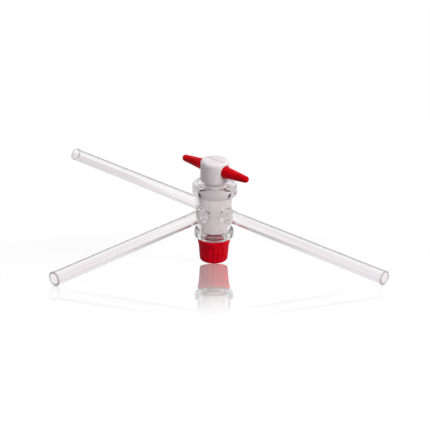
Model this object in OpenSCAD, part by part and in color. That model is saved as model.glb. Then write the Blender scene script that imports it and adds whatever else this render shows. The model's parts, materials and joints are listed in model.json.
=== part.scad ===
// Three-way glass stopcock: a blown glass barrel with three equal arms in a T,
// a tapered white key with a T-handle, and the lock nut, washer and seal that
// hold the key down. Every piece is drawn upright, with the barrel's axis on z
// and the arms in the plane z = 0. The whole is then laid as it comes to rest,
// leaning on two arm tips and on the lower edge of the nut.

/* [Side arms] */
// Outer diameter of the arm tubing
arm_od = 8; // [7:0.5:9]
// Wall thickness of the arm tubing
arm_wall = 1; // [0.8:0.1:1.4]
// Distance from the barrel's axis to the tip of each arm
arm_reach = 128; // [100:1:150]
// How far the fire-polished bead at a tip stands out from the tube
tip_bead = 0.2; // [0.1:0.05:0.25]
// How far the weld spreads beyond the tube where the arm meets the barrel
weld_spread = 1.8; // [1:0.1:2.2]
// Radius of the hollow sweep from the tube into its weld
weld_sweep = 6; // [4:0.5:9]

/* [Barrel] */
// Outer diameter of the barrel
barrel_od = 21; // [20:0.5:23]
// Height of the barrel above the axis of the arms
barrel_rise = 17.8; // [16.5:0.1:22]
// Depth of the barrel below the axis of the arms
barrel_drop = 17.3; // [16:0.1:22]
// How far the upper rim stands out from the barrel
upper_flare = 3.1; // [2.5:0.1:3.6]
// Height of the upper rim, from its top to its underside
upper_band = 6.7; // [5.8:0.1:8]
// Rounding of the upper rim's top edge
upper_roll = 1.8; // [1.4:0.1:2.2]
// Rounding of the upper rim's lower edge
upper_heel = 1; // [0.6:0.1:1.2]
// Radius of the hollow sweep under the upper rim
upper_sweep = 1.3; // [0.8:0.1:1.3]
// How far the lower rim stands out from the barrel
lower_flare = 1.6; // [1:0.1:2]
// Height of the lower rim
lower_band = 5.1; // [4.2:0.1:6]
// Rounding of the lower rim's two edges
lower_roll = 1.5; // [1:0.1:2]
// Radius of the hollow sweep above the lower rim
lower_sweep = 1; // [0.6:0.1:2]
// How far the mouth's inner land lies below the top of the upper rim
land_step = 0.7; // [0.3:0.1:1.2]

/* [Ground seat] */
// Diameter of the tapered seat at its large end
seat_d = 13.2; // [12.6:0.1:14]
// Length of the seat in which its diameter shrinks by one unit
seat_taper = 10; // [8:0.5:12]
// Depth of the large end of the seat below the top of the upper rim
seat_sink = 3.8; // [2.5:0.1:5]
// Running gap between the key and the seat, measured on the radius
seat_gap = 0.05; // [0.02:0.01:0.1]
// Diameter of the relief at the foot of the bore
relief_bore_d = 12.6; // [12:0.1:14]
// Depth of the relief at the foot of the bore
relief_bore_depth = 1.4; // [0.8:0.1:2.4]
// Diameter of the passage through the key and of the ports in the barrel's wall
passage_d = 2.5; // [1.5:0.1:3.5]

/* [Key] */
// Diameter of the key's head
head_d = 17.7; // [16:0.1:19]
// Height of the key's head
head_height = 13; // [11:0.1:16]
// Height of the bare neck between the upper rim and the head
neck_height = 2.2; // [1:0.1:4]
// Rounding of the head's upper edge
head_round = 2.2; // [1:0.1:3]
// Width of the groove across the top of the head
mark_width = 0.9; // [0.5:0.1:1.6]
// Depth of the groove across the top of the head
mark_depth = 0.35; // [0.2:0.05:0.8]
// Depth of the relief ring below the large end of the seat
relief_sink = 4; // [2.5:0.1:5.5]
// Width of the relief ring turned into the tapered plug
relief_width = 1; // [0.6:0.1:2]
// Depth of the relief ring
relief_depth = 0.4; // [0.2:0.05:0.6]
// How far the small end of the plug stops short of the foot of the barrel
plug_sink = 0.6; // [0.2:0.1:0.8]
// Diameter of the threaded tail
tail_d = 7.9; // [7.2:0.1:8.2]
// Depth of the flat along the tail that stops the washer from turning
tail_flat = 0.8; // [0.4:0.1:1.2]
// How far the key is turned from the line of the two arms in one row
key_turn = 1; // [0:0.5:360]

/* [Handle] */
// Length of the handle from tip to tip
handle_span = 52.5; // [44:0.5:64]
// Diameter of the handle in the head
grip_d = 7.2; // [6:0.1:8]
// Diameter of the handle at its tips
grip_tip_d = 4.3; // [3:0.1:5]
// Height of the handle's axis above the underside of the head
handle_rise = 7.3; // [5:0.1:7.5]

/* [Washer and seal] */
// Outer diameter of the washer
washer_d = 17.2; // [16:0.1:18]
// Thickness of the washer
washer_t = 1; // [0.6:0.1:1.6]
// Thickness of the rubber sealing ring's round section
seal_section = 2.6; // [2:0.1:2.9]
// Clearance around the tail and around the seal, measured on the radius
slip_gap = 0.1; // [0.06:0.01:0.15]

/* [Nut] */
// Height of the nut
nut_height = 14.3; // [12:0.1:18]
// Diameter of the plain collar at the nut's upper end
nut_collar_d = 20; // [19.4:0.1:21]
// Height of the collar
nut_collar_h = 2.65; // [1.6:0.05:3.5]
// Diameter of the fluted body below the collar
nut_body_d = 19.1; // [18.2:0.1:19.3]
// Diameter of the fluted body at the nut's lower end
nut_foot_d = 17.4; // [16.4:0.1:18]
// Rounding of the nut's lower edge
nut_round = 0.8; // [0.4:0.1:1.2]
// Gap left between the nut and the washer when the seal is nipped
nut_gap = 0.3; // [0.1:0.05:0.5]
// Number of flutes around the nut
flute_count = 18; // [12:2:24]
// Depth of each flute
flute_depth = 0.4; // [0.2:0.05:0.6]
// Radius of each flute
flute_r = 1.3; // [1:0.1:1.6]
// How far the tail stops short of the nut's lower face
tail_recess = 1.2; // [0.6:0.1:3]

/* [Hidden] */
$fn = 96;

// Overlap that makes a cut pass clean through
cut = 1;
// Overlap of two rounds that would otherwise only touch
nip = 0.02;
// Directions of the three arms: two lean on the table, the third lines up with the second
arm_angles = [225, 315, 135];

// Arms
arm_r = arm_od / 2;
lumen_r = arm_r - arm_wall;
bead_r = (arm_wall + tip_bead) / 2;
bead_ring = lumen_r + bead_r;
bead_line = arm_reach - bead_r;
weld_run = sqrt(pow(weld_sweep, 2) - pow(weld_sweep - weld_spread, 2));

// Barrel
barrel_r = barrel_od / 2;
barrel_top = barrel_rise;
barrel_bottom = -barrel_drop;
upper_rim_r = barrel_r + upper_flare;
upper_roll_z = barrel_top - upper_roll;
lower_rim_r = barrel_r + lower_flare;
lower_roll_z = barrel_bottom + lower_roll;
land_top = barrel_top - land_step;

// Seat and plug
seat_top = barrel_top - seat_sink;
function seat_r(z) = seat_d / 2 - (seat_top - z) / (2 * seat_taper);
mouth_bevel = (land_top - seat_top) / 2;
plug_end = barrel_bottom + plug_sink;
neck_r = seat_d / 2 - seat_gap;
relief_top = seat_top - relief_sink;

// Key
head_bottom = barrel_top + neck_height;
head_top = head_bottom + head_height;
head_edge = head_round / 4;
tail_r = tail_d / 2;
passage_r = passage_d / 2;

// Washer, seal and nut, from the lower rim downwards
washer_bottom = barrel_bottom - washer_t;
nut_top = washer_bottom - nut_gap;
nut_bottom = nut_top - nut_height;
seal_ring_r = tail_r + slip_gap + seal_section / 2;
pocket_r = seal_ring_r + seal_section / 2 + slip_gap;
pocket_floor = washer_bottom - seal_section - slip_gap;
tail_end = nut_bottom + tail_recess;
collar_bottom = nut_top - nut_collar_h;
foot_line = nut_bottom + nut_round;
foot_ring = nut_foot_d / 2 - nut_round;
body_lean = atan((nut_body_d - nut_foot_d) / 2 / (collar_bottom - foot_line));

// Handle
handle_z = head_bottom + handle_rise;
grip_r = grip_d / 2;
grip_tip_r = grip_tip_d / 2;

// Rest: how far the arms' plane stands above an arm tip's lowest point, and above
// the nut's lowest point, when the barrel leans by a degrees
function tip_level(a) = bead_line * sin(a) / sqrt(2) + bead_ring * sqrt(1 - pow(sin(a), 2) / 2) + bead_r;
function nut_level(a) = -foot_line * cos(a) + foot_ring * sin(a) + nut_round;
// The lean at which both levels agree, found by halving an interval
function lean(low, high, steps) =
    let (middle = (low + high) / 2)
    steps == 0 ? middle
    : tip_level(middle) < nut_level(middle) ? lean(middle, high, steps - 1)
    : lean(low, middle, steps - 1);
rest_lean = lean(0, 60, 40);
rest_height = tip_level(rest_lean);

// Lays an upright piece down in the rest pose
module at_rest() {
    translate([0, 0, rest_height])
        rotate([rest_lean, 0, 0])
            children();
}

// Points z along an arm's direction
module along_arm(angle) {
    rotate([0, 0, angle])
        rotate([0, 90, 0])
            children();
}

// Half section of the upper rim: a straight band with rounded edges, and its sweep
module upper_rim() {
    roll_x = upper_rim_r - upper_roll;
    heel_x = upper_rim_r - upper_heel;
    under_z = barrel_top - upper_band;
    heel_z = under_z + upper_heel;
    sweep_z = under_z - upper_sweep + nip;
    translate([roll_x, upper_roll_z])
        circle(upper_roll);
    translate([heel_x, heel_z])
        circle(upper_heel);
    translate([barrel_r - 2 * cut, upper_roll_z])
        square([roll_x - barrel_r + 2 * cut, land_top - upper_roll_z]);
    translate([barrel_r - cut, heel_z])
        square([upper_flare + cut, upper_roll_z - heel_z]);
    translate([barrel_r - cut, under_z])
        square([heel_x - barrel_r + cut, upper_heel]);
    difference() {
        translate([barrel_r - cut, sweep_z])
            square([upper_sweep + cut, upper_sweep + upper_heel / 2]);
        translate([barrel_r + upper_sweep, sweep_z])
            circle(upper_sweep);
    }
}

// Half section of the lower rim: a band rounded at both edges, and its sweep
module lower_rim() {
    roll_x = lower_rim_r - lower_roll;
    high_z = barrel_bottom + lower_band - lower_roll;
    sweep_x = barrel_r + lower_sweep;
    sweep_z = high_z + sqrt(pow(lower_sweep + lower_roll - nip, 2) - pow(sweep_x - roll_x, 2));
    for (z = [lower_roll_z, high_z])
        translate([roll_x, z])
            circle(lower_roll);
    translate([0, lower_roll_z])
        square([lower_rim_r, high_z - lower_roll_z]);
    translate([0, barrel_bottom])
        square([roll_x, lower_roll]);
    difference() {
        polygon([
            [barrel_r - cut, sweep_z],
            [sweep_x, sweep_z],
            [roll_x, high_z],
            [barrel_r - cut, high_z]
        ]);
        translate([sweep_x, sweep_z])
            circle(lower_sweep);
    }
}

// Half section of the barrel's outer form, without its bore
module barrel_section() {
    translate([0, barrel_bottom])
        square([barrel_r - cut, land_top - barrel_bottom]);
    translate([0, lower_roll_z])
        square([barrel_r, upper_roll_z - lower_roll_z]);
    upper_rim();
    lower_rim();
}

// Half section of an arm's outer form: weld, tube and fire-polished bead
module arm_section() {
    square([arm_r, bead_line]);
    translate([bead_ring, bead_line])
        circle(bead_r);
    square([arm_r + weld_spread, barrel_r]);
    difference() {
        translate([0, barrel_r])
            square([arm_r + weld_spread, weld_run]);
        translate([arm_r + weld_sweep, barrel_r + weld_run])
            circle(weld_sweep);
    }
}

// The space inside an arm: tube bore, cone and port through the barrel's wall
module arm_lumen() {
    port_r = passage_r + seat_gap;
    cone_run = lumen_r - port_r;
    translate([0, 0, barrel_r])
        cylinder(h = arm_reach, r = lumen_r);
    translate([0, 0, barrel_r - cone_run])
        cylinder(h = cone_run, r1 = port_r, r2 = lumen_r);
    cylinder(h = barrel_r, r = port_r);
}

// The tapered bore of the barrel with its bevelled mouth and relieved foot
module barrel_bore() {
    low = barrel_bottom - cut;
    high = barrel_top + cut;
    bevel_low = land_top - mouth_bevel;
    translate([0, 0, low])
        cylinder(h = high - low, r1 = seat_r(low), r2 = seat_r(high));
    translate([0, 0, bevel_low])
        cylinder(h = mouth_bevel + cut, r1 = seat_r(bevel_low), r2 = seat_r(land_top) + mouth_bevel + cut);
    translate([0, 0, low])
        cylinder(h = relief_bore_depth + cut, r = relief_bore_d / 2);
}

module glass_body() {
    color([0.86, 0.93, 0.93, 0.45])
        at_rest()
            difference() {
                union() {
                    rotate_extrude()
                        barrel_section();
                    for (angle = arm_angles)
                        along_arm(angle)
                            rotate_extrude()
                                arm_section();
                }
                barrel_bore();
                for (angle = arm_angles)
                    along_arm(angle)
                        arm_lumen();
            }
}

// Half section of the key's head with its rounded edges
module head_section() {
    round_x = head_d / 2 - head_round;
    edge_x = head_d / 2 - head_edge;
    translate([0, head_bottom + head_edge])
        square([head_d / 2, head_height - head_round - head_edge]);
    translate([0, head_bottom])
        square([round_x, head_height]);
    translate([0, head_bottom])
        square([edge_x, head_height / 2]);
    translate([round_x, head_top - head_round])
        circle(head_round);
    translate([edge_x, head_bottom + head_edge])
        circle(head_edge);
}

// The key as turned on a lathe: head, neck, tapered plug with its relief ring, and tail
module key_blank() {
    relief_floor = seat_r(relief_top) - seat_gap - relief_depth;
    rotate_extrude()
        head_section();
    translate([0, 0, seat_top])
        cylinder(h = head_bottom + head_edge - seat_top, r = neck_r);
    difference() {
        translate([0, 0, plug_end])
            cylinder(h = seat_top - plug_end, r1 = seat_r(plug_end) - seat_gap, r2 = neck_r);
        translate([0, 0, relief_top - relief_width])
            difference() {
                cylinder(h = relief_width, r = neck_r + cut);
                translate([0, 0, -cut])
                    cylinder(h = relief_width + 2 * cut, r = relief_floor);
            }
    }
    translate([0, 0, tail_end])
        cylinder(h = plug_end - tail_end + cut, r = tail_r);
}

// The T-shaped passage: straight through, with a branch to one side
module key_passage() {
    rotate([0, 90, 0])
        cylinder(h = seat_d, r = passage_r, center = true);
    rotate([90, 0, 0])
        cylinder(h = seat_d / 2, r = passage_r);
}

// Turns a piece with the key, whose handle follows the arms that lie in one row
module with_key() {
    rotate([0, 0, arm_angles[1] + key_turn])
        children();
}

module key() {
    color([0.95, 0.95, 0.94])
        at_rest()
            with_key()
                difference() {
                    key_blank();
                    key_passage();
                    translate([0, 0, handle_z])
                        rotate([0, 90, 0])
                            cylinder(h = head_d + cut, r = grip_r + slip_gap, center = true);
                    translate([-head_d / 2 - cut, -mark_width / 2, head_top - mark_depth])
                        cube([head_d + 2 * cut, mark_width, mark_depth + cut]);
                    translate([tail_r - tail_flat, -tail_r, tail_end - cut])
                        cube([tail_r, 2 * tail_r, barrel_bottom - tail_end + cut]);
                }
}

// Half section of the handle along its own axis, from the middle to one tip
module grip_section() {
    root = head_d / 2;
    tip = handle_span / 2 - grip_tip_r;
    polygon([[0, 0], [grip_r, 0], [grip_r, root], [grip_tip_r, tip], [0, tip]]);
    intersection() {
        translate([0, tip])
            circle(grip_tip_r);
        translate([0, tip])
            square(grip_tip_r);
    }
}

module handle() {
    color([0.82, 0.05, 0.07])
        at_rest()
            with_key()
                translate([0, 0, handle_z])
                    for (side = [-90, 90])
                        rotate([0, side, 0])
                            rotate_extrude()
                                grip_section();
}

// The washer, keyed to the flat on the key's tail
module washer() {
    hole_r = tail_r + slip_gap;
    color([0.6, 0.04, 0.06])
        at_rest()
            with_key()
                translate([0, 0, washer_bottom])
                    difference() {
                        cylinder(h = washer_t, r = washer_d / 2);
                        difference() {
                            translate([0, 0, -cut])
                                cylinder(h = washer_t + 2 * cut, r = hole_r);
                            translate([hole_r - tail_flat, -hole_r, -2 * cut])
                                cube([hole_r, 2 * hole_r, washer_t + 4 * cut]);
                        }
                    }
}

module seal_ring() {
    color([0.12, 0.12, 0.12])
        at_rest()
            translate([0, 0, washer_bottom - seal_section / 2])
                rotate_extrude()
                    translate([seal_ring_r, 0])
                        circle(seal_section / 2);
}

// The nut before it is fluted and bored: collar with a bead, tapered body, round foot
module nut_blank() {
    bead = nut_collar_h / 5;
    bead_x = nut_collar_d / 2 - bead;
    rotate_extrude() {
        translate([0, collar_bottom])
            square([bead_x, nut_collar_h]);
        translate([bead_x, nut_top - bead])
            circle(bead);
        translate([bead_x, collar_bottom + bead])
            circle(bead);
    }
    translate([0, 0, foot_line])
        cylinder(h = collar_bottom - foot_line, r1 = nut_foot_d / 2, r2 = nut_body_d / 2);
    rotate_extrude() {
        translate([0, nut_bottom])
            square([foot_ring, nut_round + cut]);
        translate([foot_ring, foot_line])
            circle(nut_round);
    }
}

// One flute, cut along the tapered side and ending just short of the collar
module flute() {
    side_run = (collar_bottom - nut_bottom) / cos(body_lean);
    translate([nut_body_d / 2, 0, collar_bottom - flute_depth])
        rotate([0, body_lean, 0])
            translate([flute_r - flute_depth, 0, -side_run - cut])
                cylinder(h = side_run + cut, r = flute_r);
}

module nut() {
    pitch_angle = 360 / flute_count;
    thread_r = tail_r + slip_gap;
    color([0.78, 0.04, 0.06])
        at_rest()
            difference() {
                nut_blank();
                for (i = [0 : flute_count - 1])
                    rotate([0, 0, 270 + (i + 0.5) * pitch_angle])
                        flute();
                translate([0, 0, nut_bottom - cut])
                    cylinder(h = nut_height + 2 * cut, r = thread_r);
                translate([0, 0, pocket_floor])
                    cylinder(h = nut_top - pocket_floor + cut, r = pocket_r);
            }
}

glass_body();
key();
handle();
washer();
seal_ring();
nut();
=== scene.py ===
import json
import math

import bmesh
import bpy
import numpy as np
from mathutils import Matrix, Vector


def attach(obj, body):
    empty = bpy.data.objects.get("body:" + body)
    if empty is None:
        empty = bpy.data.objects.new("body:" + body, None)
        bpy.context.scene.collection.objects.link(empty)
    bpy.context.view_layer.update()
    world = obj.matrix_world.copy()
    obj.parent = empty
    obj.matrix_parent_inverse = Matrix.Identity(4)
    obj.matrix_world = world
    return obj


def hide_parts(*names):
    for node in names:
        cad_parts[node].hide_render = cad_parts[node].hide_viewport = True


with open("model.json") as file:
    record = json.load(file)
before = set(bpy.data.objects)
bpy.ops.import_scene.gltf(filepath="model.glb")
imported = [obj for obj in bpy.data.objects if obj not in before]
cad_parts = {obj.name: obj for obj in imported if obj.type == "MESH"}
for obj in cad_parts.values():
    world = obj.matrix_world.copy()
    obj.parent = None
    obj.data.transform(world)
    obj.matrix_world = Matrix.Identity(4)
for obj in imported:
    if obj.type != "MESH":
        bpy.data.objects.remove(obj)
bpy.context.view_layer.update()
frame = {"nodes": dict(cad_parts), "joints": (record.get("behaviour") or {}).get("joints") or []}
print("frame loaded:", ", ".join(sorted(frame["nodes"])))

# Every piece is drawn upright in millimetres, with the crossing of the arms at
# the origin, and is then laid down as the key's own axis lies in the frame.
turnJoint = next(j for j in frame["joints"] if j["name"] == "key_turn")
restLean = math.atan2(-turnJoint["axis"][1], turnJoint["axis"][2])
restPlace = Matrix.Translation(turnJoint["pos_m"]) @ Matrix.Rotation(restLean, 4, "X")
armAngles = (225, 315, 135)
keySpin = math.radians(316)      # the handle lies almost over the row of two arms

# the tapered seat and the plug in it, and the key's tail, which the washer and nut ride on
seat = {"topR": 6.6, "topZ": 14.0, "footZ": -16.7, "reliefZ": -15.9, "taper": 10.0,
        "gap": 0.05, "greasedTo": 15.56}
tail = {"r": 3.95, "flatX": 3.15, "flatTop": -17.35, "endZ": -31.8, "slip": 0.1,
        "threadTop": -18.4, "pitch": 1.25, "depth": 0.62, "steepness": 1.7}
creaseDeg = 35                   # steeper edges than this stay sharp


def seatR(z):
    return seat["topR"] - (seat["topZ"] - z) / (2 * seat["taper"])


def arc(cx, cz, radius, startDeg, endDeg, steps):
    angles = np.radians(np.linspace(startDeg, endDeg, steps + 1))
    return [(cx + radius * math.cos(a), cz + radius * math.sin(a)) for a in angles]


def line(a, b, steps):
    # leaves out its first point
    a, b = np.array(a), np.array(b)
    return [tuple(a + (b - a) * i / steps) for i in range(1, steps + 1)]


def easing(t):
    # the shares of four points on a smooth curve
    return (1 - t) ** 3, 3 * t * (1 - t) ** 2, 3 * t * t * (1 - t), t ** 3


def roundedPath(corners, steps=5):
    # corners are (radius, z, rounding); the ends stay sharp
    path = [corners[0][:2]]
    for before, here, after in zip(corners, corners[1:], corners[2:]):
        p = np.array(here[:2], float)
        u = np.array(before[:2], float) - p
        v = np.array(after[:2], float) - p
        lu, lv = np.linalg.norm(u), np.linalg.norm(v)
        u, v = u / lu, v / lv
        half = math.acos(max(-1, min(1, float(u @ v)))) / 2
        if here[2] <= 0 or half > math.pi / 2 - 1e-3:
            path.append(tuple(p))
            continue
        run = min(here[2] / math.tan(half), 0.49 * lu, 0.49 * lv)
        r = run * math.tan(half)
        centre = p + (u + v) / np.linalg.norm(u + v) * (r / math.sin(half))
        a = p + u * run - centre
        b = p + v * run - centre
        sweep = math.atan2(a[0] * b[1] - a[1] * b[0], float(a @ b))
        for i in range(steps + 1):
            t = sweep * i / steps
            c, s = math.cos(t), math.sin(t)
            path.append((centre[0] + a[0] * c - a[1] * s, centre[1] + a[0] * s + a[1] * c))
    path.append(corners[-1][:2])
    return path


def lathe(rows, columns, shape=None, closed=False):
    # rows are (radius, z); shape may move them by angle
    rows = np.array(rows, float)
    angle = np.arange(columns) * 2 * np.pi / columns
    r = np.repeat(rows[:, :1], columns, 1)
    z = np.repeat(rows[:, 1:], columns, 1)
    if shape is not None:
        r, z = shape(np.repeat(angle[None, :], len(rows), 0), r, z)
    points = np.stack([r * np.cos(angle), r * np.sin(angle), z], -1).reshape(-1, 3)
    faces = []
    for i in range(len(rows) if closed else len(rows) - 1):
        a, b = i * columns, (i + 1) % len(rows) * columns
        for c in range(columns):
            d = (c + 1) % columns
            faces.append((a + c, a + d, b + d, b + c))
    return points, faces


def makePiece(name, points, faces, place=None, sharpDeg=creaseDeg):
    mesh = bpy.data.meshes.new(name)
    mesh.from_pydata([tuple(p) for p in points], [], faces)
    work = bmesh.new()
    work.from_mesh(mesh)
    bmesh.ops.remove_doubles(work, verts=work.verts, dist=1e-4)
    loose = [v for v in work.verts if not v.link_faces]
    bmesh.ops.delete(work, geom=loose, context="VERTS")
    bmesh.ops.recalc_face_normals(work, faces=work.faces)
    work.to_mesh(mesh)
    work.free()
    if place is not None:
        mesh.transform(place)
    for p in mesh.polygons:
        p.use_smooth = True
    if sharpDeg:
        mesh.set_sharp_from_angle(angle=math.radians(sharpDeg))
    piece = bpy.data.objects.new(name, mesh)
    bpy.context.scene.collection.objects.link(piece)
    return piece


def cutWith(piece, cutters):
    # the cutters are used up; the result replaces the piece's mesh
    for cutter in cutters:
        change = piece.modifiers.new("cut", "BOOLEAN")
        change.operation = "DIFFERENCE"
        change.solver = "EXACT"
        change.object = cutter
    bpy.context.view_layer.update()
    graph = bpy.context.evaluated_depsgraph_get()
    mesh = bpy.data.meshes.new_from_object(piece.evaluated_get(graph))
    piece.modifiers.clear()
    piece.data = mesh
    for cutter in cutters:
        bpy.data.objects.remove(cutter)
    for p in mesh.polygons:
        p.use_smooth = True
    mesh.set_sharp_from_angle(angle=math.radians(creaseDeg))


def layDown(piece, spin=0.0):
    piece.data.transform(restPlace @ Matrix.Scale(0.001, 4) @ Matrix.Rotation(spin, 4, "Z"))


def finishPiece(piece, body, node, slot, *materials):
    for material in materials:
        piece.data.materials.append(material)
    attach(piece, body)
    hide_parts(node)
    print(f"{piece.name}: {len(piece.data.polygons)} faces on {body}")


class NodeBench:
    def __init__(self, name):
        self.material = bpy.data.materials.new(name)
        self.material.use_nodes = True
        self.tree = self.material.node_tree
        self.shader = self.tree.nodes["Principled BSDF"]
        self.output = self.tree.nodes["Material Output"]

    def add(self, kind, **values):
        node = self.tree.nodes.new("ShaderNode" + kind)
        for name, value in values.items():
            setattr(node, name, value)
        return node

    def link(self, a, b):
        self.tree.links.new(a, b)

    def feed(self, node, **inputs):
        # i0, i1 and so on are sockets by number, and the others go by name
        for name, value in inputs.items():
            numbered = name.startswith("i") and name[1:].isdigit()
            socket = node.inputs[int(name[1:]) if numbered else name.replace("_", " ")]
            if isinstance(value, bpy.types.NodeSocket):
                self.link(value, socket)
            else:
                socket.default_value = value
        return node

    def math(self, operation, a, b=0.0):
        node = self.add("Math", operation=operation)
        self.feed(node, i0=a, i1=b)
        return node.outputs[0]

    def upright(self):
        # millimetres in the upright frame, with the key's axis on z
        place = self.add("TexCoord")
        turn = self.add("Mapping", vector_type="TEXTURE")
        self.feed(turn, Vector=place.outputs["Object"], Location=tuple(turnJoint["pos_m"]),
                  Rotation=(restLean, 0, 0), Scale=(0.001, 0.001, 0.001))
        return turn.outputs[0]

    def noise(self, vector, scale, detail=3.0, roughness=0.5, dims="3D"):
        node = self.add("TexNoise", noise_dimensions=dims)
        node.inputs["Scale"].default_value = scale
        node.inputs["Detail"].default_value = detail
        node.inputs["Roughness"].default_value = roughness
        if dims == "1D":
            self.link(vector, node.inputs["W"])
        else:
            self.link(vector, node.inputs["Vector"])
        return node.outputs[0]

    def span(self, value, low, high, outLow, outHigh):
        node = self.add("MapRange")
        self.feed(node, i0=value, i1=low, i2=high, i3=outLow, i4=outHigh)
        return node.outputs[0]

    def band(self, value, low, high, soft):
        # 1 between low and high, running out over soft
        up = self.span(value, low - soft, low + soft, 0.0, 1.0)
        down = self.span(value, high - soft, high + soft, 1.0, 0.0)
        return self.math("MULTIPLY", up, down)

    def product(self, *values):
        result = values[0]
        for value in values[1:]:
            result = self.math("MULTIPLY", result, value)
        return result

    def blend(self, factor, a, b):
        node = self.add("Mix", data_type="RGBA")
        self.feed(node, i0=factor, i6=a, i7=b)
        return node.outputs[2]

    def mottle(self, cloud, a, b):
        # soft patches of b in a
        return self.blend(self.span(cloud, 0.35, 0.7, 0.0, 1.0), a, b)

    def bump(self, height, strength, distance, normal=None):
        node = self.add("Bump")
        self.feed(node, Height=height, Strength=strength, Distance=distance)
        if normal is not None:
            self.link(normal, node.inputs["Normal"])
        return node.outputs[0]


glassBody = {
    "barrelR": 10.5, "bottom": -17.3,
    # rounds and sweeps are (radius out, height, radius of the round)
    "upperRoll": (11.8, 16.0, 1.8), "upperHeel": (12.6, 12.1, 1.0), "upperSweep": (11.8, 9.8, 1.3),
    "lowerSweep": (11.5, -11.3676, 1.0), "lowerHeel": (10.6, -13.7, 1.5), "lowerRoll": (10.6, -15.8, 1.5),
    "mouth": (6.6775, 15.55), "bevel": 1.35, "lipDeg": 118, "lipDip": (0.35, 0.5),
    "footFlat": 1.5, "reliefR": 6.3, "reliefRound": 0.3, "reliefEdge": 0.1, "columns": 192,
    # half width in columns, half height in mm and rows of cells
    "weldHole": (19, 6.3, 24), "portHole": (9, 1.575, 44),
    "armR": 4.0, "boreR": 3.0, "armReach": 127.975, "beadR": 0.6, "beadDeg": (-48, 178),
    "tubeEnd": 126.3, "tubeRings": 34,
    "weldR": 5.8, "weldWaist": 12.2, "weldTop": 14.785, "weldSpread": 0.6,
    # radii and distances from the key's axis along the blown funnel, which ends at the port
    "funnelR": (3.0, 3.0, 1.5), "funnelOut": (13.4, 10.9, 9.9, 8.4), "portR": 1.3, "portLip": 0.15,
    # where the welds are uneven: (radius, spread, distance out, spread)
    "ripple": 0.24, "workedWeld": (5.1, 0.9, 10.4, 2.2), "workedFunnel": (2.3, 0.8, 10.6, 1.6),
    "funnelShare": 0.8,
    "glass": (0.998, 0.986, 0.990, 1), "index": 1.473, "haze": 0.008,
    "grease": (0.99, 0.985, 0.985, 1), "thickGrease": (0.96, 0.955, 0.955, 1),
    # painted shade: the tubes' ends are coloured grey for light that has run along inside the walls
    "endPaintedGrey": (0.58, 0.55, 0.56, 1), "endClear": (0.72, 0.69, 0.70, 1), "endFrom": 127.2,
    # rings, by their lowest and highest z, where the glass is painted nearly black towards its edges, as
    # painted shade
    "darkSeat": (9.9, 12.4), "seatTurn": (0.42, 0.52),
    "darkFillet": (-12.7, -11.3), "filletTurn": (0.40, 0.60),
    "ringSoft": 0.4, "smoke": (0.002, 0.0018, 0.002, 1),
}


def barrelRows():
    g = glassBody
    ux, uz, ur = g["upperRoll"]
    hx, hz, hr = g["upperHeel"]
    tx, tz, tr = g["lowerSweep"]
    kx, kz, kr = g["lowerHeel"]
    lx, lz, lr = g["lowerRoll"]
    lowerMeet = math.degrees(math.atan2(tz - kz, tx - kx))
    mouth = np.array(g["mouth"])
    rows = [tuple(mouth)] + line(mouth, mouth + g["bevel"], 3)
    # the bevelled mouth runs up into the rolled rim through a shallow dip
    lip, fall = math.radians(g["lipDeg"]), math.radians(g["lipDeg"] - 90)
    a = np.array(rows[-1])
    d = np.array((ux + ur * math.cos(lip), uz + ur * math.sin(lip)))
    b = a + g["lipDip"][0]
    c = d - g["lipDip"][1] * np.array((math.cos(fall), math.sin(fall)))
    for i in range(1, 6):
        t = i / 6
        rows.append(tuple(a * (1 - t) ** 3 + 3 * b * t * (1 - t) ** 2 + 3 * c * t * t * (1 - t) + d * t ** 3))
    rows += arc(ux, uz, ur, g["lipDeg"], 0, 22)
    rows += line((ux + ur, uz), (hx + hr, hz), 8)
    rows += arc(hx, hz, hr, 0, -90, 12)[1:]
    rows += line((hx, hz - hr), (g["upperSweep"][0], hz - hr), 2)
    rows += arc(*g["upperSweep"], 90, 180, 11)[1:]
    half, cells = g["weldHole"][1:]
    r = g["barrelR"]
    rows += line(rows[-1], (r, half), 4)
    holeTop = len(rows) - 1
    rows += line((r, half), (r, -half), cells)
    rows += line((r, -half), (r, tz), 5)
    rows += arc(tx, tz, tr, 180, lowerMeet + 180, 9)[1:]
    rows += arc(kx, kz, kr, lowerMeet, 0, 9)[1:]
    rows += line((kx + kr, kz), (lx + lr, lz), 4)
    rows += arc(lx, lz, lr, 0, -90, 14)[1:]
    rows += line((lx, g["bottom"]), (lx - g["footFlat"], g["bottom"]), 4)
    deepZ, soft = seat["reliefZ"], g["reliefRound"]
    rows += roundedPath([
        rows[-1] + (0,), (g["reliefR"], g["bottom"], soft), (g["reliefR"], deepZ, soft),
        (seatR(deepZ), deepZ, g["reliefEdge"]), (seatR(deepZ + soft), deepZ + soft, 0)], 5)[1:]
    half, cells = g["portHole"][1:]
    start = rows[-1][1]
    rows += [(seatR(z), z) for z in np.linspace(start, -half, 13)[1:]]
    portBottom = len(rows) - 1
    rows += [(seatR(z), z) for z in np.linspace(-half, half, cells + 1)[1:]]
    rows += [(seatR(z), z) for z in np.linspace(half, mouth[1], 15)[1:-1]]
    return rows, holeTop, portBottom


def rectLoop(rowFrom, rowStep, cells, colMid, colHalf, columns):
    # vertex indices round a rectangular hole, from its upper left corner to the right
    top, low = rowFrom, rowFrom + rowStep * cells
    left, right = colMid - colHalf, colMid + colHalf
    loop = [(top, c) for c in range(left, right)]
    loop += [(top + rowStep * i, right) for i in range(cells)]
    loop += [(low, c) for c in range(right, left, -1)]
    loop += [(low - rowStep * i, left) for i in range(cells)]
    return [r * columns + c % columns for r, c in loop]


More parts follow.
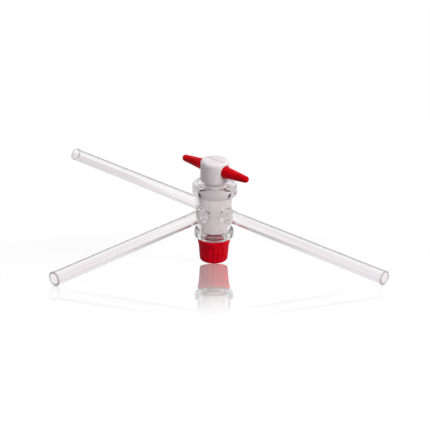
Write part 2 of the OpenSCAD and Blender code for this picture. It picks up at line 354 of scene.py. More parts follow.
def ripple(p):
    # a fixed sum of waves (x, y, z, phase), so every run gives the same hand-worked glass
    total = np.zeros(len(p))
    waves = ((1.9, 0.4, 1.1, 0.3), (0.7, 2.3, 0.9, 1.7), (-1.3, 1.6, 2.1, 2.9), (2.6, -0.8, 1.9, 4.1),
             (-2.2, -2.0, 1.4, 5.3), (1.1, 3.1, -2.4, 0.9), (3.4, 1.2, -1.6, 2.2))
    for kx, ky, kz, phase in waves:
        total += np.sin(kx * p[:, 0] + ky * p[:, 1] + kz * p[:, 2] + phase)
    return total / len(waves) * 1.6


def buildGlass():
    g = glassBody
    rows, holeTop, portBottom = barrelRows()
    columns = g["columns"]
    points, faces = lathe(rows, columns, closed=True)
    points = [tuple(p) for p in points]
    colHalf, _, holeCells = g["weldHole"]
    portHalf, _, portCells = g["portHole"]
    gone = set()
    rings = []
    for armDeg in armAngles:
        mid = round(armDeg * columns / 360)
        for c in range(mid - colHalf, mid + colHalf):
            for r in range(holeTop, holeTop + holeCells):
                gone.add(r * columns + c % columns)
        for c in range(mid - portHalf, mid + portHalf):
            for r in range(portBottom, portBottom + portCells):
                gone.add(r * columns + c % columns)
        outer = rectLoop(holeTop, 1, holeCells, mid, colHalf, columns)
        inner = rectLoop(portBottom + portCells, -1, portCells, mid, portHalf, columns)
        rings.append((armDeg, outer, inner))
    # a face's index in the lathe's list is its row and column
    faces = [f for i, f in enumerate(faces) if i not in gone]
    for armDeg, outer, inner in rings:
        addArm(points, faces, armDeg, outer, inner)
    return points, faces


def joinRings(faces, a, b):
    count = len(a)
    faces.extend((a[i], a[(i + 1) % count], b[(i + 1) % count], b[i]) for i in range(count))


def addArm(points, faces, armDeg, outer, inner):
    # one skin from the barrel out along the tube, round its end and back in to the seat
    g = glassBody
    a = math.radians(armDeg)
    along, side = np.array((math.cos(a), math.sin(a))), np.array((-math.sin(a), math.cos(a)))
    p = np.array([points[i] for i in outer])
    q = np.array([points[i] for i in inner])
    outY, outZ = p[:, :2] @ side, p[:, 2]
    inY, inZ = q[:, :2] @ side, q[:, 2]
    outPsi = np.unwrap(np.arctan2(outZ, outY))
    inPsi = np.unwrap(np.arctan2(inZ, inY))
    inPsi += 2 * np.pi * round((outPsi[0] - inPsi[0]) / (2 * np.pi))
    count = len(outer)
    evenPsi = outPsi[0] - np.arange(count) * 2 * np.pi / count

    def onBarrel(y):
        return np.sqrt(g["barrelR"] * g["barrelR"] - y * y)

    def onBore(y, z):
        return np.sqrt(seatR(z) ** 2 - y * y)

    rings = []
    # out over the barrel to the foot of the weld
    for t in (0.35, 0.7, 1.0):
        y = outY + (g["weldR"] * np.cos(outPsi) - outY) * t
        z = outZ + (g["weldR"] * np.sin(outPsi) - outZ) * t
        rings.append((onBarrel(y), y, z))
    # up the hollow weld to the tube
    steps, spread = 15, g["weldSpread"]
    for i in range(1, steps + 1):
        t = i / steps
        psi = outPsi + (evenPsi - outPsi) * t
        footOut = onBarrel(g["weldR"] * np.cos(psi))
        slope = g["weldR"] * np.cos(psi) ** 2 / footOut
        radii = [g["weldR"], g["weldR"] - spread, g["armR"], g["armR"]]
        outs = [footOut, footOut + spread * slope, g["weldWaist"], g["weldTop"]]
        radius = sum(share * r for share, r in zip(easing(t), radii))
        out = sum(share * s for share, s in zip(easing(t), outs))
        rings.append((out, radius * np.cos(psi), radius * np.sin(psi)))
    beadLine = g["armReach"] - g["beadR"]
    beadRing = g["boreR"] + g["beadR"]

    def circle(s, radius, psi):
        rings.append((np.full(count, s), radius * np.cos(psi), radius * np.sin(psi)))

    funnelStart, portStart = g["funnelOut"][0], g["funnelOut"][-1]
    for s in np.linspace(g["weldTop"], g["tubeEnd"], g["tubeRings"])[1:]:
        circle(s, g["armR"], evenPsi)
    for bend in np.radians(np.linspace(*g["beadDeg"], 15)):
        circle(beadLine + g["beadR"] * math.sin(bend), beadRing + g["beadR"] * math.cos(bend), evenPsi)
    for s in np.linspace(g["tubeEnd"], funnelStart, g["tubeRings"]):
        circle(s, g["boreR"], evenPsi)
    # the blown funnel narrows to the port
    steps = 12
    for i in range(1, steps + 1):
        t = i / steps
        radius = sum(share * r for share, r in zip(easing(t), g["funnelR"] + (g["portR"],)))
        out = sum(share * s for share, s in zip(easing(t), g["funnelOut"]))
        circle(out, radius, evenPsi + (inPsi - evenPsi) * t)
    portY, portZ = g["portR"] * np.cos(inPsi), g["portR"] * np.sin(inPsi)
    portEnd = onBore(portY, portZ) + g["portLip"]
    for t in (0.35, 0.7, 1.0):
        rings.append((portStart + (portEnd - portStart) * t, portY, portZ))
    for t in (0.33, 0.66):
        y, z = portY + (inY - portY) * t, portZ + (inZ - portZ) * t
        rings.append((onBore(y, z), y, z))
    before = outer
    for s, y, z in rings:
        level = np.outer(s, along) + np.outer(y, side)
        start = len(points)
        points.extend((float(x), float(y), float(up)) for (x, y), up in zip(level, z))
        here = list(range(start, start + count))
        joinRings(faces, before, here)
        before = here
    joinRings(faces, before, inner)


def workWelds(piece):
    # hand-worked glass: each weld is a little uneven outside and in its funnel
    g = glassBody
    mesh = piece.data
    n = len(mesh.vertices)
    co = np.zeros(n * 3)
    mesh.vertices.foreach_get("co", co)
    co = co.reshape(-1, 3)
    normal = np.array([tuple(v.normal) for v in mesh.vertices])

    def near(across, out, ring):
        radius, radiusSpread, distance, distanceSpread = ring
        onRing = np.exp(-((across - radius) / radiusSpread) ** 2)
        return onRing * np.exp(-((out - distance) / distanceSpread) ** 2)

    amount = np.zeros(n)
    for armDeg in armAngles:
        a = math.radians(armDeg)
        out = co[:, 0] * math.cos(a) + co[:, 1] * math.sin(a)
        aside = -co[:, 0] * math.sin(a) + co[:, 1] * math.cos(a)
        across = np.hypot(aside, co[:, 2])
        amount += near(across, out, g["workedWeld"]) + g["funnelShare"] * near(across, out, g["workedFunnel"])
    co += normal * (amount * g["ripple"] * ripple(co))[:, None]
    mesh.vertices.foreach_set("co", co.ravel())
    mesh.update()


def paintedShadeRing(m, where, ring, turn):
    # 1 in the ring where the surface turns away, which is where the painted shade goes
    apart, edge = m.add("SeparateXYZ"), m.add("LayerWeight")
    m.link(where, apart.inputs[0])
    turned = m.span(edge.outputs["Facing"], *turn, 0.0, 1.0)
    return m.product(m.band(apart.outputs[2], *ring, glassBody["ringSoft"]), turned)


def glassMaterial():
    g = glassBody
    m = NodeBench("clear glass")
    where = m.upright()
    # painted shade: the glass is tinted nearly black in a ring near the lower rim, where it turns away
    dark = paintedShadeRing(m, where, g["darkFillet"], g["filletTurn"])
    m.link(m.blend(dark, g["glass"], g["smoke"]), m.shader.inputs["Base Color"])
    m.feed(m.shader, IOR=g["index"], Transmission_Weight=1.0)
    smear = m.noise(where, 0.08, 2.0)
    m.link(m.span(smear, 0.5, 0.8, 0.0, g["haze"]), m.shader.inputs["Roughness"])
    path = m.add("LightPath")
    # lamps reach what stands behind the glass
    clear = m.add("BsdfTransparent")
    clear.inputs[0].default_value = (1, 1, 1, 1)
    mix = m.add("MixShader")
    m.feed(mix, i0=path.outputs["Is Shadow Ray"], i1=m.shader.outputs[0], i2=clear.outputs[0])
    m.link(mix.outputs[0], m.output.inputs["Surface"])
    return m.material


def greasedMaterial():
    # the film in the seat has the glass's own index, so light goes straight on into it
    g = glassBody
    m = NodeBench("greased seat")
    where = m.upright()
    film = m.mottle(m.noise(where, 0.5, 3.0), g["grease"], g["thickGrease"])
    # near its top the seat is painted dark at both sides, as painted shade
    dark = paintedShadeRing(m, where, g["darkSeat"], g["seatTurn"])
    m.link(m.blend(dark, film, g["smoke"]), m.shader.inputs["Base Color"])
    m.feed(m.shader, IOR=1.0, Transmission_Weight=1.0, Roughness=0.0)
    return m.material


def endMaterial():
    # the tubes' fire-polished ends are a little rough, and their grey colour is painted shade for light that
    # has run along inside the walls
    g = glassBody
    m = NodeBench("tube end painted grey")
    haze = m.noise(m.upright(), 0.9, 3.0)
    m.link(m.mottle(haze, g["endPaintedGrey"], g["endClear"]), m.shader.inputs["Base Color"])
    m.feed(m.shader, IOR=g["index"], Transmission_Weight=0.7, Roughness=0.3)
    return m.material


def markFaces(piece):
    # 0 is clear glass, 1 the greased seat, 2 the tubes' ends
    for p in piece.data.polygons:
        x, y, z = p.center
        r = math.hypot(x, y)
        if r > glassBody["endFrom"]:
            p.material_index = 2
        if r < seatR(z) + 0.02 and seat["reliefZ"] + 0.05 < z < seat["greasedTo"]:
            p.material_index = 1


points, faces = buildGlass()
glassPiece = makePiece("glassBarrelAndArms", points, faces, sharpDeg=0)
workWelds(glassPiece)
markFaces(glassPiece)
layDown(glassPiece)
finishPiece(glassPiece, "glass_body", "glass_body", "clear_glass",
            glassMaterial(), greasedMaterial(), endMaterial())


key = {
    "headR": 8.85, "headBottom": 20.0, "headTop": 33.0, "headRound": 2.2,
    "markR": 0.45, "markLift": 0.1, "markReach": (6.2, 6.5),
    "headEdge": 0.5, "neckRound": 0.3, "plugEdgeRound": 0.15,
    "reliefTop": 10.0, "reliefWidth": 1.0, "reliefDepth": 0.4, "reliefWall": 0.1, "reliefEdge": 0.12,
    # (radius, distance from the axis) of the cross hole, which widens a little at its mouths
    "handleZ": 27.3, "crossHole": ((3.7, 7.9), (4.15, 8.4), (4.6, 12), (0, 12)),
    "passageR": 1.25, "passageReach": 9, "branchSlip": 0.003, "columns": 192,
    "white": (0.80, 0.735, 0.755, 1), "patch": 0.93, "paintedLightWhite": (1.0, 0.965, 0.96, 1),
    "shadow": (0.10, 0.085, 0.085, 1), "footRed": (0.20, 0.004, 0.02, 1),
    # how much of these colours shows, and where: painted light on the plug, painted shade in bands, and a
    # painted red reflection on the foot
    "wetShare": 0.5, "wetTo": (17.0, 18.5), "bounceShare": 0.85, "bounceTo": (-15.0, -14.6), "bounceFrom": (4.2, 4.6),
    "shadeBandShare": 0.13, "ringShare": 0.2, "markShare": 0.2, "plugEdge": (6.9, 7.1),
}


def cutThread(angle, r, z, zTop, zLow):
    # a right-hand thread with flat crests and roots, faded out at both ends
    turn = (z / tail["pitch"] - angle / (2 * np.pi)) % 1.0
    wave = np.clip(np.abs(turn - 0.5) * 2 * tail["steepness"] - 0.45, 0, 1)
    fade = np.clip((zTop - z) / 0.8, 0, 1) * np.clip((z - zLow) / 0.5, 0, 1)
    onThread = np.abs(r - tail["r"]) < 1e-6
    return np.where(onThread, r - tail["depth"] * wave * fade, r)


def buildKey():
    k = key
    foot = seat["footZ"]
    plugFoot = seatR(foot) - seat["gap"]
    neck = seat["topR"] - seat["gap"]
    (upR, upZ), (lowR, lowZ) = [
        (seatR(z) - seat["gap"], z) for z in (k["reliefTop"], k["reliefTop"] - k["reliefWidth"])]
    wall, deep = k["reliefWall"], k["reliefDepth"]
    rows = roundedPath([
        (0, k["headTop"], 0), (k["headR"], k["headTop"], k["headRound"]),
        (k["headR"], k["headBottom"], k["headEdge"]),
        (neck, k["headBottom"], k["neckRound"]), (neck, seat["topZ"], k["plugEdgeRound"]),
        (upR, upZ, k["reliefEdge"]), (upR - deep, upZ - wall, wall),
        (lowR - deep, lowZ + wall, wall), (lowR, lowZ, k["reliefEdge"]),
        (plugFoot, foot + 0.08, k["plugEdgeRound"]), (tail["r"], foot + 0.03, 0)])
    top = [(r, k["headTop"]) for r in (0, 0.8, 2.0, 3.4, 5.0)]
    rows = top + rows[1:]
    end, threadEnd = tail["endZ"], tail["endZ"] + 0.5
    rows += line((tail["r"], foot + 0.03), (tail["r"], tail["flatTop"]), 3)
    rows += line((tail["r"], tail["flatTop"]), (tail["r"], threadEnd), 112)
    rows += [(tail["r"] - 0.25, end + 0.15), (tail["r"] - 0.5, end), (1.6, end), (0, end)]

    def shape(angle, r, z):
        r = cutThread(angle, r, z, tail["threadTop"], threadEnd)
        onFlat = (z < tail["flatTop"] - 0.01) & (np.cos(angle) > 0.05)
        limit = tail["flatX"] / np.maximum(np.cos(angle), 0.05)
        return np.where(onFlat, np.minimum(r, limit), r), z

    points, faces = lathe(rows, k["columns"], shape)
    piece = makePiece("whiteKey", points, faces)
    alongX, alongY = Matrix.Rotation(math.pi / 2, 4, "Y"), Matrix.Rotation(math.pi / 2, 4, "X")

    def lift(z):
        return Matrix.Translation((0, 0, z))

    def rod(radius, start, end):
        return [(0, start), (radius, start), (radius, end), (0, end)]

    half = list(k["crossHole"])
    crossRows = [(r, -out) for r, out in reversed(half)] + half
    hole = makePiece("crossHole", *lathe(crossRows, 96), place=lift(k["handleZ"]) @ alongX)
    runRows = rod(k["passageR"], -k["passageReach"], k["passageReach"])
    run = makePiece("passageRun", *lathe(runRows, 64), place=alongX)
    # the branch is a hair thinner, so that its wall doesn't lie on the run's
    branchRows = rod(k["passageR"] - k["branchSlip"], 0.01, k["passageReach"])
    branch = makePiece("passageBranch", *lathe(branchRows, 64), place=alongY)
    groovePlace = lift(k["headTop"] + k["markLift"]) @ alongX
    groove = makePiece("headGroove", *lathe(rod(k["markR"], -10, 10), 24), place=groovePlace)
    cutWith(piece, [hole, run, branch, groove])
    return piece


def whiteMaterial():
    k = key
    m = NodeBench("white turned plastic")
    where = m.upright()
    apart = m.add("SeparateXYZ")
    m.link(where, apart.inputs[0])
    x, y, z = apart.outputs
    radius = m.math("SQRT", m.math("ADD", m.product(x, x), m.product(y, y)))
    patch = tuple(c * k["patch"] for c in k["white"][:3]) + (1,)
    face = m.mottle(m.noise(where, 0.12, 3.0), k["white"], patch)
    # painted light: the plug is painted brighter where it is seen through the seat, for light that reaches it
    # through the glass
    onPlug = m.span(radius, *k["plugEdge"], 1.0, 0.0)
    wet = m.product(m.span(z, *k["wetTo"], k["wetShare"], 0.0), onPlug)
    face = m.blend(wet, face, k["paintedLightWhite"])
    # painted shade and painted reflection: the foot is painted dark red, as if in shade and lit by the red
    # washer below it
    foot = m.product(m.span(z, *k["bounceTo"], 1.0, 0.0), m.span(radius, *k["bounceFrom"], 0.0, 1.0), k["bounceShare"])
    face = m.blend(foot, face, k["footRed"])
    # painted shade: greyer from the relief ring up, and darker still in the ring and the mark on the head
    ringLow = k["reliefTop"] - k["reliefWidth"]
    shadeBand = m.product(m.band(z, ringLow, seat["topZ"], 0.1), onPlug, k["shadeBandShare"])
    face = m.blend(shadeBand, face, k["shadow"])
    ring = m.product(m.band(z, ringLow, k["reliefTop"], 0.06), onPlug, k["ringShare"])
    face = m.blend(ring, face, k["shadow"])
    belowTop = m.span(z, k["headTop"] - 0.10, k["headTop"] - 0.04, 1.0, 0.0)
    onHead = m.span(z, k["headTop"] - 3, k["headTop"] - 2, 0.0, 1.0)
    mark = m.product(belowTop, m.span(radius, *k["markReach"], 1.0, 0.0), onHead, k["markShare"])
    face = m.blend(mark, face, k["shadow"])
    m.link(face, m.shader.inputs["Base Color"])
    m.feed(m.shader, Subsurface_Weight=0.35, Subsurface_Scale=0.0016,
           Subsurface_Radius=(1.0, 1.0, 1.0), IOR=1.38)
    grain = m.noise(where, 1.6, 4.0, 0.6)
    m.link(m.span(grain, 0.3, 0.7, 0.30, 0.42), m.shader.inputs["Roughness"])
    # fine rings left by turning, seen round the sides and on the flat ends
    rings = m.noise(m.math("ADD", z, radius), 5.0, 2.0, 0.6, dims="1D")
    normal = m.bump(rings, 0.25, 0.00005)
    m.link(m.bump(grain, 0.12, 0.00005, normal), m.shader.inputs["Normal"])
    return m.material


keyPiece = buildKey()
layDown(keyPiece, keySpin)
finishPiece(keyPiece, "key", "key", "white_key", whiteMaterial())


handle = {
    "span": 52.5, "rootR": 3.6, "tipR": 2.15, "shoulder": 8.85, "columns": 96,
    "seamWidth": 0.035, "seamHeight": 0.035, "seamSunk": 0.02,
    "red": (0.72, 0.001, 0.010, 1), "deepRed": (0.55, 0.001, 0.007, 1), "rough": 0.30,
}


def buildHandle():
    h = handle
    tip = h["span"] / 2 - h["tipR"]
    half = [(h["rootR"], 0.0)] + line((h["rootR"], 0), (h["rootR"], h["shoulder"] - 0.4), 6)
    half += line(half[-1], (h["rootR"] - 0.05, h["shoulder"] + 0.5), 2)
    half += line(half[-1], (h["tipR"] + 0.06, tip - 0.4), 22)
    half += [(h["tipR"] + 0.02, tip)] + arc(0, tip, h["tipR"], 0, 90, 12)[1:]
    half = [(max(r, 0.0), z) for r, z in half]
    rows = [(r, -z) for r, z in reversed(half[1:])] + half

    def shape(angle, r, z):
        # a faint parting line along both sides
        seam = np.exp(-((np.abs(np.sin(angle)) / h["seamWidth"]) ** 2)) * h["seamHeight"]
        return np.where(r > 0.5, r + seam - h["seamSunk"], r), z

    points, faces = lathe(rows, h["columns"], shape)
    place = Matrix.Translation((0, 0, key["handleZ"])) @ Matrix.Rotation(math.pi / 2, 4, "Y")
    return makePiece("redHandleBar", points, faces, place=place)


def redMaterial(name, piece):
    m = NodeBench(name)
    where = m.upright()
    cloud = m.noise(where, 0.16, 3.0)
    m.link(m.mottle(cloud, piece["red"], piece["deepRed"]), m.shader.inputs["Base Color"])
    rough = piece["rough"]
    grain = m.noise(where, 2.4, 3.0, 0.6)
    m.link(m.span(grain, 0.3, 0.7, rough - 0.05, rough + 0.07), m.shader.inputs["Roughness"])
    m.feed(m.shader, IOR=1.49, Specular_IOR_Level=0.08, Specular_Tint=(1.0, 0.30, 0.34, 1))
    m.link(m.bump(grain, 0.10, 0.00006), m.shader.inputs["Normal"])
    return m.material


handlePiece = buildHandle()
layDown(handlePiece, keySpin)
finishPiece(handlePiece, "key", "handle", "red_handle", redMaterial("red handle plastic", handle))


washer = {
    "r": 8.6, "top": -17.33, "thickness": 0.97, "edge": 0.15,
    # the washer is red plastic, and its red is kept darker than the nut's as painted shade for the gap under
    # the glass foot
    "red": (0.26, 0.003, 0.018, 1), "deepRed": (0.18, 0.002, 0.012, 1), "rough": 0.40,
}


def buildWasher():
    w = washer
    low, top, e = w["top"] - w["thickness"], w["top"], w["edge"]
    inner = tail["r"] + tail["slip"]
    middle = (inner, (low + top) / 2, 0)
    corners = [middle, (inner, low, e / 2), (w["r"], low, e), (w["r"], top, e), (inner, top, e / 2), middle]
    rows = roundedPath(corners, 3)[:-1]

    def shape(angle, r, z):
        # the hole has the tail's flat, so the washer turns with the key
        limit = (tail["flatX"] + tail["slip"]) / np.maximum(np.cos(angle), 0.05)
        hole = (r < inner + 0.3) & (np.cos(angle) > 0.05)
        return np.where(hole, np.minimum(r, limit + (r - inner)), r), z

    points, faces = lathe(rows, 192, shape, closed=True)
    return makePiece("slipWasher", points, faces)


washerPiece = buildWasher()
layDown(washerPiece, keySpin)
finishPiece(washerPiece, "washer", "washer", "washer_plastic", redMaterial("red washer plastic darkened for shade", washer))


seal = {
    "ringR": 5.35, "sectionR": 1.3, "z": -19.6, "flash": 0.02,
    "black": (0.012, 0.012, 0.013, 1), "bloom": (0.05, 0.05, 0.052, 1),
}


def buildSeal():
    s = seal
    section = arc(s["ringR"], s["z"], s["sectionR"], 0, 360, 40)[:-1]

    def shape(angle, r, z):
        # the mould's flash line inside and outside
        t = np.arctan2(z - s["z"], r - s["ringR"])
        flash = s["flash"] * np.exp(-((np.sin(t)) / 0.06) ** 2) - s["flash"]
        return r + flash * np.cos(t), z + flash * np.sin(t)

    points, faces = lathe(section, 128, shape, closed=True)
    return makePiece("sealRing", points, faces)


def rubberMaterial():
    m = NodeBench("black seal rubber")
    where = m.upright()
    bloom = m.noise(where, 0.5, 5.0, 0.65)
    dusty = m.span(bloom, 0.4, 0.75, 0.0, 1.0)
    m.link(m.blend(dusty, seal["black"], seal["bloom"]), m.shader.inputs["Base Color"])
    grain = m.noise(where, 4.0, 3.0)
    m.link(m.span(grain, 0.3, 0.7, 0.45, 0.6), m.shader.inputs["Roughness"])
    m.link(m.bump(grain, 0.15, 0.00005), m.shader.inputs["Normal"])
    return m.material


sealPiece = buildSeal()
layDown(sealPiece)
finishPiece(sealPiece, "washer", "seal_ring", "seal_rubber", rubberMaterial())


nut = {
    "top": -18.6, "bottom": -32.9, "collarR": 10.0, "collarH": 2.65, "bodyR": 9.55, "footR": 8.7, "round": 0.8,
    "flutes": 18, "fluteDepth": 0.4, "fluteR": 1.3, "fluteTop": 0.35, "fluteRun": 0.9,
    "pocketR": 6.75, "pocketFloor": -21.0, "mouthDepth": 1.0, "recessDepth": 0.35, "columns": 288,
    "red": (0.66, 0.001, 0.012, 1), "deepRed": (0.50, 0.001, 0.008, 1), "rough": 0.34,
}


def buildNut():
    n = nut
    collarLow = n["top"] - n["collarH"]
    footLine = n["bottom"] + n["round"]
    bore = tail["r"] + tail["slip"]
    # a fine groove runs round the collar
    outer = roundedPath([
        (n["pocketR"] + 0.3, n["top"], 0), (n["collarR"], n["top"], 0.45), (n["collarR"], n["top"] - 1.12, 0.1),
        (n["collarR"] - 0.22, n["top"] - 1.3, 0.08), (n["collarR"] - 0.02, n["top"] - 1.5, 0.1),
        (n["collarR"] - 0.02, collarLow, 0.35), (n["bodyR"] - 0.05, collarLow - 0.05, 0.12),
        (n["bodyR"] - 0.02, collarLow - 0.5, 0)], 4)
    outer += line(outer[-1], (n["footR"], footLine), 30)
    outer += arc(n["footR"] - n["round"], footLine, n["round"], 0, -90, 7)[1:]
    # the foot has a shallow recess round the mouth of the bore
    recess, mouthZ = n["bottom"] + n["recessDepth"], n["bottom"] + n["mouthDepth"]
    low = roundedPath([outer[-1] + (0,), (5.6, n["bottom"], 0.3), (5.3, recess, 0.2),
                       (bore + 0.75, recess, 0.2), (bore, mouthZ, 0)], 3)[1:]
    threadTop = n["pocketFloor"] - 0.4
    inside = line((bore, mouthZ), (bore, threadTop), 84)
    pocket = roundedPath([
        (bore, threadTop, 0), (bore + 0.4, n["pocketFloor"], 0.1), (n["pocketR"], n["pocketFloor"], 0.3),
        (n["pocketR"], n["top"], 0.2), (n["pocketR"] + 0.3, n["top"], 0)], 3)[1:-1]
    rows = outer + low + inside + pocket
    lean = (n["bodyR"] - n["footR"]) / (collarLow - footLine)

    def shape(angle, r, z):
        # the nut's thread fills the grooves of the key's tail
        depth, steepness = tail["depth"], tail["steepness"]
        turn = (z / tail["pitch"] - angle / (2 * np.pi)) % 1.0
        crest = sum(np.clip(depth - np.abs(turn - whole) * 2 * steepness, 0, 1) for whole in (0.0, 1.0))
        fade = np.clip((threadTop - z) / 0.6, 0, 1) * np.clip((z - n["bottom"] - n["mouthDepth"]) / 0.6, 0, 1)
        onBore = np.abs(r - bore) < 1e-6
        r = np.where(onBore, r - depth * np.clip(crest / depth, 0, 1) * fade, r)
        # round-bottomed flutes, with ridges facing the front
        pitch = 2 * np.pi / n["flutes"]
        off = ((angle - 1.5 * np.pi) / pitch) % 1.0 - 0.5
        side = n["bodyR"] - (collarLow - z) * lean
        across = off * pitch * side
        centre = side + n["fluteR"] - n["fluteDepth"]
        wall = centre - np.sqrt(np.maximum(n["fluteR"] ** 2 - across ** 2, 0))
        wall = np.where(np.abs(across) < n["fluteR"], wall, 99)
        runOut = np.clip((collarLow - n["fluteTop"] - z) / n["fluteRun"], 0, 1)
        runOut = np.sqrt(1 - (1 - runOut) ** 2)
        onBody = (r > 6.9) & (z < collarLow - 0.3)
        clear = side + 0.02
        cutR = clear - (clear - np.minimum(wall, clear)) * runOut
        return np.where(onBody, np.minimum(r, cutR), r), z

    points, faces = lathe(rows, n["columns"], shape, closed=True)
    return makePiece("lockNut", points, faces, sharpDeg=40)


nutPiece = buildNut()
layDown(nutPiece)
finishPiece(nutPiece, "nut", "nut", "red_nut", redMaterial("red nut plastic", nut))


studio = {
    "floorSize": 6.0, "floorWhite": 0.4,
    # the sheet's own glow near the object and away from it
    "glowNear": 0.62, "glowFar": 1.0, "glowFrom": 0.16, "glowTo": 0.45,
    # how the sheet shows in glass, by the share of bentReach from the object; it is darkest close to the
    # object, as a painted shadow
    "bentFloor": ((0, 0.45), (1, 0.66), (0.10, 0.62), (0.20, 0.84), (0.55, 0.84)),
    "bentReach": 0.3, "bentTint": (1.0, 0.955, 0.985, 1),
    # the mirror in the sheet, which fades towards the front and to both sides
    "floorIor": 1.5, "floorGloss": 1.6, "floorRough": 0.035,
    "dullFrom": 0.03, "dullTo": 0.075, "dullGloss": 0.35,
    "matFrom": -0.23, "matTo": -0.07,
    "matCurve": ((0, 0), (1, 1), (0.17, 0.07), (0.43, 0.28), (0.58, 0.57), (0.82, 0.93)),
    # brightness seen in glass against the sine of the height: a lit wall behind the object,
    # dark screens at both sides of it, and the open room past them
    "windowFrom": 0.70, "windowTo": 0.78, "screenFrom": 0.40, "screenTo": 0.25,
    "skyBehind": ((0, 1.0), (1, 0.6), (0.25, 1.0), (0.30, 0.04), (0.52, 0.04), (0.56, 1.0), (0.82, 1.0)),
    "skyScreen": ((0, 0.02), (1, 0.5), (0.30, 0.03), (0.60, 0.3)),
    "skyAside": ((0, 0.65), (1, 0.7), (0.25, 0.75), (0.31, 0.15), (0.50, 0.15), (0.56, 0.8)),
    # the light that falls on plain surfaces, mostly from a wide box overhead
    "skyLight": ((0, 0.10), (1, 1.0), (0.55, 0.12), (0.80, 0.95)), "skyPower": 1.1,
    # and the light on the plug inside the glass, which comes mostly from the front right
    "plugHeading": (0.8, 0.6), "plugFrom": -0.6, "plugTo": 0.9, "plugDim": 0.3, "plugBright": 2.8,
    "softBox": {"place": (0.50, -0.56, 0.36), "size": 0.42, "power": 4.8},
    "fillBox": {"place": (-0.60, -0.25, 0.45), "size": 0.5, "power": 0.4},
    "aimAt": (0, 0, 0.03), "glassTurns": 160,
    "eye": {"place": (-0.029034, -0.754371, 0.104343), "turn": (84.40988, -0.14519, -2.2196),
            "lens": 103.8276, "sensor": 36.0},
}


def setStops(colorRamp, stops):
    # the first two stops are the ramp's own ends
    for i, (at, bright) in enumerate(stops):
        stop = colorRamp.elements[i] if i < 2 else colorRamp.elements.new(at)
        if i < 2:
            stop.position = at
        stop.color = (bright, bright, bright, 1)


def buildFloor():
    s = studio
    bpy.ops.mesh.primitive_plane_add(size=s["floorSize"], location=(0, 0, 0))
    floor = bpy.context.object
    floor.name = "whiteFloor"
    m = NodeBench("gloss white floor")
    path = m.add("LightPath")
    place, apart, away = m.add("TexCoord"), m.add("SeparateXYZ"), m.add("VectorMath", operation="LENGTH")
    m.link(place.outputs["Object"], apart.inputs[0])
    m.link(place.outputs["Object"], away.inputs[0])
    # the sheet is brightest away from the object, where it runs into the backdrop
    seen = m.span(away.outputs["Value"], s["glowFrom"], s["glowTo"], s["glowNear"], s["glowFar"])
    matt, glow, both = m.add("BsdfDiffuse"), m.add("Emission"), m.add("AddShader")
    m.feed(matt, Color=(s["floorWhite"],) * 3 + (1,))
    m.feed(glow, Strength=m.product(path.outputs["Is Camera Ray"], seen))
    m.feed(both, i0=matt.outputs[0], i1=glow.outputs[0])
    # glass shows the sheet a little greyer, with a painted shadow right under the object
    bent = m.math("MAXIMUM", path.outputs["Is Glossy Ray"], path.outputs["Is Transmission Ray"])
    dim, inGlass, base = m.add("ValToRGB"), m.add("Emission"), m.add("MixShader")
    m.link(m.span(away.outputs["Value"], 0.0, s["bentReach"], 0.0, 1.0), dim.inputs[0])
    setStops(dim.color_ramp, s["bentFloor"])
    m.feed(inGlass, Color=s["bentTint"], Strength=dim.outputs[0])
    m.feed(base, i0=bent, i1=both.outputs[0], i2=inGlass.outputs[0])
    # the mirror is strongest under the object and goes matt towards the front and the sides
    gloss, fresnel, fade = m.add("BsdfGlossy"), m.add("Fresnel"), m.add("FloatCurve")
    m.feed(gloss, Color=(1, 1, 1, 1), Roughness=s["floorRough"])
    m.feed(fresnel, IOR=s["floorIor"])
    m.feed(fade, Value=m.span(apart.outputs[1], s["matFrom"], s["matTo"], 0.0, 1.0))
    curve = fade.mapping.curves[0]
    for i, (x, y) in enumerate(s["matCurve"]):
        if i < 2:
            curve.points[i].location = (x, y)
        else:
            curve.points.new(x, y)
    fade.mapping.update()
    aside = m.span(m.math("ABSOLUTE", apart.outputs[0]), s["dullFrom"], s["dullTo"], 1.0, s["dullGloss"])
    share = m.product(fresnel.outputs[0], s["floorGloss"], fade.outputs[0], aside)
    mix = m.add("MixShader")
    m.feed(mix, i0=share, i1=base.outputs[0], i2=gloss.outputs[0])
    m.link(mix.outputs[0], m.output.inputs["Surface"])
    floor.data.materials.append(m.material)


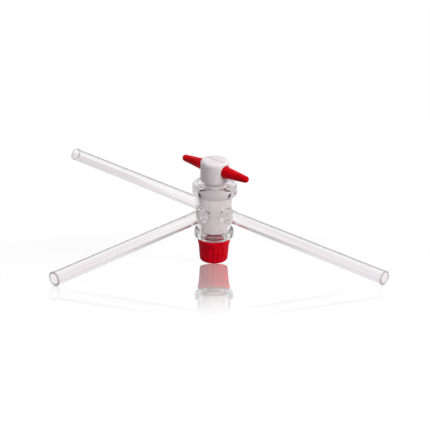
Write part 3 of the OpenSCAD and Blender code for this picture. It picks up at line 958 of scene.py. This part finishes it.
def buildWorld():
    s = studio
    world = bpy.data.worlds.new("studio")
    bpy.context.scene.world = world
    world.use_nodes = True
    tree = world.node_tree
    tree.nodes.clear()
    add = tree.nodes.new
    link = tree.links.new
    output, back = add("ShaderNodeOutputWorld"), add("ShaderNodeBackground")
    path, where, apart = add("ShaderNodeLightPath"), add("ShaderNodeTexCoord"), add("ShaderNodeSeparateXYZ")
    link(where.outputs["Generated"], apart.inputs[0])
    x, y, z = apart.outputs

    def calc(operation, a, b=0.0):
        node = add("ShaderNodeMath")
        node.operation = operation
        for i, v in enumerate((a, b)):
            if isinstance(v, bpy.types.NodeSocket):
                link(v, node.inputs[i])
            else:
                node.inputs[i].default_value = v
        return node.outputs[0]

    def ramp(stops):
        node = add("ShaderNodeValToRGB")
        link(z, node.inputs[0])
        setStops(node.color_ramp, stops)
        return node.outputs[0]

    def span(value, low, high, outLow, outHigh):
        node = add("ShaderNodeMapRange")
        link(value, node.inputs[0])
        for i, v in enumerate((low, high, outLow, outHigh)):
            node.inputs[i + 1].default_value = v
        return node.outputs[0]

    def either(share, first, second):
        # the second where share is 1
        kept = calc("SUBTRACT", 1.0, share)
        return calc("ADD", calc("MULTIPLY", second, share), calc("MULTIPLY", first, kept))

    flat = calc("SQRT", calc("ADD", calc("POWER", x, 2.0), calc("POWER", y, 2.0)))
    heading = calc("DIVIDE", y, flat)
    pastScreens = span(heading, s["screenFrom"], s["screenTo"], 0.0, 1.0)
    screened = either(pastScreens, ramp(s["skyScreen"]), ramp(s["skyAside"]))
    onWall = span(heading, s["windowFrom"], s["windowTo"], 0.0, 1.0)
    room = either(onWall, screened, ramp(s["skyBehind"]))
    # light that has fallen on the plug and goes out through the glass
    right, front = s["plugHeading"]
    facing = calc("SUBTRACT", calc("MULTIPLY", x, right), calc("MULTIPLY", y, front))
    onPlug = span(facing, s["plugFrom"], s["plugTo"], s["plugDim"], s["plugBright"])
    fallen = calc("GREATER_THAN", path.outputs["Diffuse Depth"], 0.5)
    room = either(fallen, room, onPlug)
    # the floor's mirror shows white all round; it is a little rough, which tells it
    # from the polished glass
    first = calc("LESS_THAN", path.outputs["Ray Depth"], 2.5)
    inFloor = calc("MULTIPLY", first, calc("SUBTRACT", 1.0, path.outputs["Is Singular Ray"]))
    room = calc("MAXIMUM", room, inFloor)
    bent = calc("MAXIMUM", path.outputs["Is Glossy Ray"], path.outputs["Is Transmission Ray"])
    level = calc("ADD", calc("MULTIPLY", bent, room), path.outputs["Is Camera Ray"])
    other = calc("SUBTRACT", 1.0, calc("MAXIMUM", bent, path.outputs["Is Camera Ray"]))
    overhead = calc("MULTIPLY", ramp(s["skyLight"]), s["skyPower"])
    level = calc("ADD", level, calc("MULTIPLY", other, overhead))
    back.inputs["Color"].default_value = (1, 1, 1, 1)
    link(level, back.inputs["Strength"])
    link(back.outputs[0], output.inputs[0])


def aimedLight(name, box):
    lamp = bpy.data.lights.new(name, "AREA")
    lamp.shape = "SQUARE"
    lamp.size = box["size"]
    lamp.energy = box["power"]
    holder = bpy.data.objects.new(name, lamp)
    bpy.context.scene.collection.objects.link(holder)
    holder.location = box["place"]
    aim = Vector(studio["aimAt"]) - holder.location
    holder.rotation_euler = aim.to_track_quat("-Z", "Y").to_euler()
    # the lamps themselves aren't seen in the glass or the floor
    holder.visible_transmission = False
    holder.visible_glossy = False


def buildEye():
    e = studio["eye"]
    lens = bpy.data.cameras.new("eye")
    lens.lens = e["lens"]
    lens.sensor_width = e["sensor"]
    lens.clip_start = 0.01
    lens.clip_end = 50
    holder = bpy.data.objects.new("eye", lens)
    bpy.context.scene.collection.objects.link(holder)
    holder.location = e["place"]
    holder.rotation_euler = [math.radians(v) for v in e["turn"]]
    bpy.context.scene.camera = holder


buildFloor()
buildWorld()
aimedLight("softBox", studio["softBox"])
aimedLight("fillBox", studio["fillBox"])
buildEye()
bpy.context.scene.view_settings.view_transform = "Standard"
# glass needs more turns inside its walls than plain things do
for limit in ("max_bounces", "glossy_bounces", "transmission_bounces"):
    setattr(bpy.context.scene.cycles, limit, studio["glassTurns"])
print("floor, sky, lights and camera are in place")
